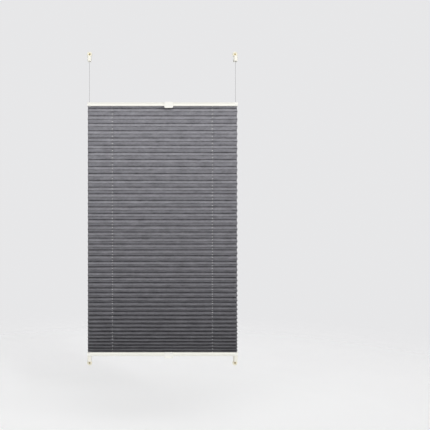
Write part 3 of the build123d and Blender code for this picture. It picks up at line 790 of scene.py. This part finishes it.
def braided_tube(middle, normal, radius):
    """Rings round a line in space, and at each point from -1 to 1 how far a strand of the braid stands out.

    The ring's radius is the radius less half the braid's depth times 1 less that value.
    """
    along = np.concatenate([[0], np.cumsum(np.linalg.norm(np.diff(middle, axis=0), axis=1))])[:, None]
    tangent = np.gradient(middle, axis=0)
    tangent /= np.linalg.norm(tangent, axis=1)[:, None]
    across = np.cross(normal, tangent)
    around = np.linspace(0, 2 * math.pi, SIDES, endpoint=False)
    one = np.cos(STRANDS * (around + 2 * math.pi * along / LAY))
    other = np.cos(STRANDS * (around - 2 * math.pi * along / LAY))
    strand = np.maximum(one, other)
    size = radius * (1 - BRAID_DEPTH * (1 - strand) / 2)
    ring = np.cos(around)[:, None] * normal[:, None] + np.sin(around)[:, None] * across[:, None]
    return middle[:, None] + size[..., None] * ring, strand


def tube_faces(rings, sides, first=0):
    """Faces of a tube of rings of points, with a cap on each end; first is its first vertex."""
    start = list(range(first, first + sides))
    end = list(range(first + (rings - 1) * sides, first + rings * sides))
    return (grid_faces(rings, sides, closed=True) + first).tolist() + [start, end[::-1]]


# %% [markdown]
# ## Tension cords: the knot
#
# What holds a cord in its shoe is a small overhand knot. That is a trefoil, the simplest knot there is,
# with its loop cut open: (sin u + 2 sin 2u, cos u - 2 cos 2u), and in depth the sine of 3u.

# %% Knot
KNOT_RADIUS = 1.4 * MM
KNOT_SCALE, KNOT_DEPTH = 0.32 * MM, 1.4
KNOT_RINGS, KNOT_GAP = 73, 0.3  # the gap is where the loop is cut, in radians
KNOT_CORD = 0.9 * CORD_RADIUS  # pulled tight, the cord is thinner


def knot_tube(centre):
    """A small overhand knot round centre: the cord along a trefoil, open where its two ends are."""
    u = np.linspace(KNOT_GAP, 2 * math.pi - KNOT_GAP, KNOT_RINGS)[:, None]
    curve = [np.sin(u) + 2 * np.sin(2 * u), KNOT_DEPTH * np.sin(3 * u), np.cos(u) - 2 * np.cos(2 * u)]
    middle = np.array(centre) + KNOT_SCALE * np.hstack(curve)
    normal = np.cross(np.gradient(middle, axis=0), [0, 1, 0])
    return braided_tube(middle, normal / np.linalg.norm(normal, axis=1)[:, None], KNOT_CORD)


knot = knot_tube((0, 0, 0))[0]
print("knot in mm:", np.round(np.ptp(knot.reshape(-1, 3), axis=0) / MM, 1).tolist())

# %% [markdown]
# ## Tension cords: two halves
#
# Each cord is made in two pieces that meet halfway down the cloth, as the cloth is. Each piece runs
# from its knot in a shoe, through its rail, and straight on to the meeting height.

# %% Cords
CORD_LEVEL = 9.6 * MM  # from a rail's cloth side up to the cord inside it


def put_value(piece, name, per_vertex):
    """A named value on each vertex, which a material can read as an attribute."""
    layer = piece.data.attributes.new(name, "FLOAT", "POINT")
    layer.data.foreach_set("value", per_vertex.astype(np.float32).ravel())


def cord_half(side, rail):
    """One cord from its knot in a shoe, through one rail, to the meeting height."""
    upper = rail == "top"
    out = 1 if upper else -1
    cord_low, cord_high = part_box(f"{side}_tension_cord")
    screw_low, screw_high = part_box(f"{rail}_{side}_screw")
    profile_low, profile_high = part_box(f"{rail}_rail_profile")
    y = (cord_low.y + cord_high.y) / 2
    near = (screw_low.x + screw_high.x) / 2
    far = math.copysign(CROSSING, -near)
    knot_z = (cord_high.z if upper else cord_low.z) - out * KNOT_RADIUS
    rail_z, cloth_z = (profile_high.z, profile_low.z) if upper else (profile_low.z, profile_high.z)
    run_z = cloth_z + out * CORD_LEVEL
    line, normal = taut_line([(near, knot_z), (near, run_z), (far, run_z), (far, SEAM_Z)])
    cord, strand = braided_tube(np.insert(line, 1, y, axis=1), np.insert(normal, 1, 0, axis=1), CORD_RADIUS)
    knot, knot_strand = knot_tube((near, y, knot_z))
    faces = tube_faces(len(cord), SIDES) + tube_faces(len(knot), SIDES, len(cord) * SIDES)
    piece = mesh_object(f"{side}_cord_{'upper' if upper else 'lower'}", np.concatenate([cord, knot]), faces)
    put_value(piece, "strand", np.concatenate([strand, knot_strand]))
    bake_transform(piece)
    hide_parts(f"{side}_tension_cord")
    print(f"{piece.name}: {run_length(line) / MM:.0f} mm long")
    return piece


cord_pieces = [cord_half(side, rail) for side in ("left", "right") for rail in ("top", "bottom")]

# %% [markdown]
# ## Cord finish
#
# The braided polyester is grey, to go with the cloth, and slightly silky. The grooves between strands
# hold a little shade. The mesh already knows where a strand stands out, because its shape came from
# that value, so the value is kept on the vertices and the colour reads it.

# %% Cord material
cord_finish, tree, shader = new_material("braided_cord", Roughness=0.6, Sheen_Weight=0.3)
strand = add(tree, "ShaderNodeAttribute", attribute_name="strand").outputs["Fac"]
paint(tree, shader, (0.20, 0.195, 0.20), remap(tree, strand, (-1.0, 1.0), (0.66, 1.0)))
roughen(tree, shader, noise(tree, object_place(tree), 4000), 0.03 * MM)
dress(cord_finish, cord_pieces)

# %% [markdown]
# ## Screws: a cross recess
#
# Four countersunk wood screws hold the shoes. A screw is turned: head, cone, neck, shank and point are
# rings about one axis, so it is a grid of rings and turns. The cross recess isn't round. A boolean cut
# would leave untidy faces, so near the recess the grid's turns crowd against the edges of its four
# slots instead, and a doubled line there makes a clean wall.

# %% Screw head
head_low, head_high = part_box("top_left_screw")
HEAD_RADIUS = (head_high.x - head_low.x) / 2
HEAD_EDGE = 0.08 * MM
RECESS_HALF, RECESS_REACH, RECESS_DEPTH = 0.45 * MM, 2.1 * MM, 1.3 * MM
RECESS_CORE = 0.65 * MM  # within this the slots run together
RECESS_FLOOR = 0.9  # width of a slot's floor against its mouth
FLOOR_LIMIT, MOUTH_LIMIT = math.radians(44), math.radians(44.5)  # just short of the next slot's turns
FACE_RINGS = np.array([0.15, 0.40, 0.63, 0.70, 1.2, 1.7, 2.1, 2.12, 2.6, 3.1, 3.42]) * MM
IN_SLOT, QUARTER = 5, 12  # turns inside a slot, and in a quarter of a ring
TURNS = 4 * QUARTER


def slot_turns(radius):
    """The turns of one ring: in each quarter some inside a slot, and the rest from its edge to the next.

    They crowd against the slot's edges up to where the recess ends, and are even at the head's rim.
    """
    inner = min(math.asin(min(1, RECESS_FLOOR * RECESS_HALF / radius)), FLOOR_LIMIT)
    outer = min(math.asin(min(1, RECESS_HALF / radius)), MOUTH_LIMIT)
    beside = np.linspace(outer, math.pi / 2 - outer, QUARTER - IN_SLOT)
    quarter = np.concatenate([inner * np.linspace(-1, 1, IN_SLOT), beside])
    even = math.pi / 2 * (np.arange(QUARTER) - IN_SLOT // 2) / QUARTER
    crowd = np.clip((HEAD_RADIUS - radius) / (HEAD_RADIUS - RECESS_REACH), 0, 1)
    quarter = even + crowd * (quarter - even)
    return np.concatenate([quarter + k * math.pi / 2 for k in range(4)])


def head_rings(head_y):
    """Radius, y and turn of every grid point on the head's face, which drops inside the recess."""
    in_slot = np.tile(np.arange(QUARTER) < IN_SLOT, 4)
    rings = []
    for radius in FACE_RINGS:
        cut = (in_slot | (radius < RECESS_CORE)) & (radius < RECESS_REACH + 0.01 * MM)
        rings.append([np.full(TURNS, radius), head_y + RECESS_DEPTH * cut, slot_turns(radius)])
    return rings


print(f"{len(FACE_RINGS)} rings of {TURNS} points on the head's face")

# %% [markdown]
# ## Screws: thread and point
#
# The thread is a ridge whose place along the screw moves on by one pitch in each turn: the phase is
# y / pitch less the share of a turn, and the ridge is a triangle round its middle. It starts at the
# face of the wood with no height and reaches its full height within one pitch. The radius shrinks
# evenly over the last stretch, to a point.

# %% Screw thread
NECK_RADIUS, CORE_RADIUS, CREST_RADIUS = 1.3 * MM, 1.1 * MM, 1.75 * MM
PITCH = 1.6 * MM
RIDGE_WIDTH = 0.6  # of a pitch
THREAD_START, POINT_LENGTH = 0.0, 3.0 * MM  # the wood's face is at y = 0
THREAD_RINGS = 81
BLUNT = 0.03  # thickness left at the very point, as a share of the core


def shank_rings(head_y, tip_y):
    """Radius, y and turn of every grid point from the head's rim, down cone and thread, to the point."""
    even = slot_turns(HEAD_RADIUS)
    rim_y = head_y + HEAD_EDGE
    rings = []
    for radius, y in ((HEAD_RADIUS, rim_y), (NECK_RADIUS, rim_y + HEAD_RADIUS - NECK_RADIUS)):
        rings.append([np.full(TURNS, radius), np.full(TURNS, y), even])
    for y in np.linspace(THREAD_START, tip_y, THREAD_RINGS):
        taper = min(1, BLUNT + (tip_y - y) / POINT_LENGTH)
        begin = min(1, (y - THREAD_START) / PITCH)
        phase = (y / PITCH - even / (2 * math.pi)) % 1
        ridge = np.clip(1 - np.abs(2 * phase - 1) / RIDGE_WIDTH, 0, 1) * begin
        core = NECK_RADIUS + begin * (CORE_RADIUS - NECK_RADIUS)
        rings.append([(core + ridge * (CREST_RADIUS - core)) * taper, np.full(TURNS, y), even])
    return rings


print(f"{(head_high.y - THREAD_START) / PITCH:.0f} turns of thread")

# %% [markdown]
# ## Screws: one for each shoe
#
# Head, cone, thread and point follow each other as rings, so the whole screw is one closed surface.
# Four screws never end up at the same turn, so each is turned by an angle of its own. Smooth shading
# would round off the recess and the thread's crest, so the steeper edges are marked sharp.

# %% Screws
SHARP = math.radians(38)
CORNERS = [f"{end}_{side}" for end in ("top", "bottom") for side in ("left", "right")]
rings = head_rings(head_low.y) + shank_rings(head_low.y, head_high.y)
radius, y, turn = np.array(rings).transpose(1, 0, 2)
screw_pieces = []
for k, corner in enumerate(CORNERS):
    low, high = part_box(f"{corner}_screw")
    centre = np.array([(low.x + high.x) / 2, 0, (low.z + high.z) / 2])
    turned = turn + math.radians(17 + 31 * k)
    points = centre + np.stack([radius * np.cos(turned), y, radius * np.sin(turned)], -1)
    piece = mesh_object(f"threaded_{corner}_screw", points, tube_faces(len(radius), TURNS))
    piece.data.set_sharp_from_angle(angle=SHARP)
    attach(piece, "root")
    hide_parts(f"{corner}_screw")
    screw_pieces.append(piece)

# %% [markdown]
# ## Surface effects that several finishes share
#
# Two effects come back in several finishes, so each is a node group. "Moulded grain" is the fine
# pebbled skin that a spark-eroded mould leaves on plastic, with faint cloudy changes in colour. "Drawn
# lines" are the streaks that a die leaves along an extruded or drawn part: the same noise, stretched by
# making one direction count far less than the others.

# %% Shared groups
def moulded_grain_group():
    """A pebbled height, a cloudy shade round 1 and a roughness, from a place and an amount of clouding."""
    group, given, sockets = new_group(
        "moulded grain",
        [("Place", "NodeSocketVector", None), ("Cloud", "NodeSocketFloat", 0.05)],
        [("Height", "NodeSocketFloat"), ("Shade", "NodeSocketFloat"), ("Roughness", "NodeSocketFloat")],
    )
    pebble = noise(group, given["Place"], 2200, 2)
    cloud = noise(group, given["Place"], 45, 4, 0.6)
    change = calc(group, "MULTIPLY", calc(group, "SUBTRACT", cloud, 0.5), given["Cloud"])
    shade = calc(group, "ADD", change, 1.0)
    rough = remap(group, cloud, (0.3, 0.7), (0.36, 0.52))
    put_out(group, sockets, {"Height": pebble, "Shade": shade, "Roughness": rough})
    return group


def drawn_lines_group():
    """A streaked height and shade: noise at a place whose x is first made to count Along times as much."""
    group, given, sockets = new_group(
        "drawn lines",
        [
            ("Place", "NodeSocketVector", None),
            ("Along", "NodeSocketFloat", 0.01),
            ("Fine", "NodeSocketFloat", 2500.0),
        ],
        [("Height", "NodeSocketFloat"), ("Shade", "NodeSocketFloat")],
    )
    factors = add(group, "ShaderNodeCombineXYZ", {0: given["Along"], 1: 1.0, 2: 1.0}).outputs[0]
    streak = noise(group, scaled(group, given["Place"], factors), given["Fine"], 3, 0.6)
    put_out(group, sockets, {"Height": streak, "Shade": remap(group, streak, (0.3, 0.7), (0.97, 1.03))})
    return group


moulded_grain = moulded_grain_group()
drawn_lines = drawn_lines_group()
for group in (moulded_grain, drawn_lines):
    print(f"{group.name}: {len(group.nodes)} nodes")

# %% [markdown]
# ## Rails
#
# The rails are extruded aluminium with a warm white powder coat. The coat softens the lines of the die
# and adds an orange-peel ripple a few millimetres long, so both are in the bump: streaks along the
# rail, and a soft noise. A groove along the middle of the front splits it into two bands. The outer band
# is darkened with painted shade, a step in colour at the groove's height, so that the band on the
# cloth's side looks the whiter one.

# %% Rail finish
BAND_EDGE, BAND_SHADE = 0.4 * MM, 0.13  # width of the step in colour, and how much painted shade darkens the outer band


def finish(material, *nodes):
    """Gives CAD nodes their material through their objects' slots."""
    for name in nodes:
        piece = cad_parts[name]
        if not piece.material_slots:
            piece.data.materials.append(material)
        for slot in piece.material_slots:
            slot.material = material
    print(f"{material.name} on {len(nodes)} CAD pieces")


rail_finish, tree, shader = new_material("powder_coated_aluminium", Roughness=0.42, Coat_Weight=0.15)
place = object_place(tree)
lines = use_group(tree, drawn_lines, {"Place": place, "Along": 0.004, "Fine": 1800.0})
peel = noise(tree, place, 420, 2, 0.4)
z = add(tree, "ShaderNodeSeparateXYZ", {0: place}).outputs["Z"]
# Painted shade on each rail's outer band, past the groove
bands = {}
for node, outwards in (("top_rail_profile", 1.0), ("bottom_rail_profile", -1.0)):
    middle = sum(v.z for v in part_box(node)) / 2
    past = calc(tree, "MULTIPLY", calc(tree, "SUBTRACT", z, middle), outwards)
    bands[node] = remap(tree, past, (0.0, BAND_EDGE), (0.0, 1.0))
above = calc(tree, "GREATER_THAN", z, 0.0)
either = {0: above, 2: bands["bottom_rail_profile"], 3: bands["top_rail_profile"]}
painted_shade_band = add(tree, "ShaderNodeMix", either).outputs[0]
shade = calc(tree, "SUBTRACT", lines["Shade"], calc(tree, "MULTIPLY", painted_shade_band, BAND_SHADE))
paint(tree, shader, (0.90, 0.89, 0.82), shade)
roughen(tree, shader, calc(tree, "ADD", calc(tree, "MULTIPLY", lines["Height"], 0.3), peel), 0.06 * MM)
finish(rail_finish, *bands)

# %% [markdown]
# ## Plastic pieces
#
# End caps, handles and the small pieces on the cords are moulded in one white plastic, and the strips
# that hold the cloth's edge in a slightly clearer one. The shoes are creamier: their bodies are pale,
# and the bases with the screw eyes a shade darker.

# %% Plastic finishes
def moulded(name, colour, cloud=0.06):
    """A moulded plastic of one colour."""
    material, tree, shader = new_material(name)
    grain = use_group(tree, moulded_grain, {"Place": object_place(tree), "Cloud": cloud})
    paint(tree, shader, colour, grain["Shade"])
    tree.links.new(grain["Roughness"], shader.inputs["Roughness"])
    roughen(tree, shader, grain["Height"], 0.04 * MM)
    return material


white_plastic = moulded("white_moulded_plastic", (0.84, 0.83, 0.78))
finish(white_plastic, "top_rail_handle", "bottom_rail_handle")
finish(white_plastic, *(f"{corner}_end_cap" for corner in CORNERS))
finish(white_plastic, *(f"{corner}_cord_guide" for corner in CORNERS))
finish(white_plastic, "top_left_cord_bead", "top_right_cord_bead")
finish(white_plastic, "bottom_left_cord_wedge", "bottom_right_cord_wedge")
finish(moulded("cream_shoe_body", (0.84, 0.82, 0.74)), *(f"{corner}_shoe_body" for corner in CORNERS))
finish(moulded("cream_shoe_base", (0.80, 0.76, 0.62), 0.12), *(f"{corner}_shoe_base" for corner in CORNERS))
finish(moulded("clear_strip_plastic", (0.74, 0.75, 0.74), 0.03), "top_cloth_strip", "bottom_cloth_strip")

# %% [markdown]
# ## Metal pieces
#
# The screws are steel with a yellow chromate, which is brown-gold and uneven: one noise makes it darker
# and duller in the same places. The springs are bright drawn wire. Their streaks would follow the wire,
# but it is so thin that a fine even grain looks the same, so nothing is stretched there.

# %% Metal finishes
screw_finish, tree, shader = new_material("yellow_chromated_steel", Metallic=1.0)
place = object_place(tree)
patch = noise(tree, place, 700, 4, 0.6)
paint(tree, shader, (0.40, 0.31, 0.14), remap(tree, patch, (0.3, 0.7), (0.72, 1.08)))
tree.links.new(remap(tree, patch, (0.3, 0.7), (0.52, 0.34)), shader.inputs["Roughness"])
roughen(tree, shader, noise(tree, place, 5000), 0.02 * MM)
dress(screw_finish, screw_pieces)

wire_finish, tree, shader = new_material("spring_steel_wire", Metallic=1.0, Roughness=0.28)
lines = use_group(tree, drawn_lines, {"Place": object_place(tree), "Along": 1.0, "Fine": 6000.0})
paint(tree, shader, (0.62, 0.61, 0.59), lines["Shade"])
roughen(tree, shader, lines["Height"], 0.01 * MM)
finish(wire_finish, "top_left_spring", "top_right_spring")
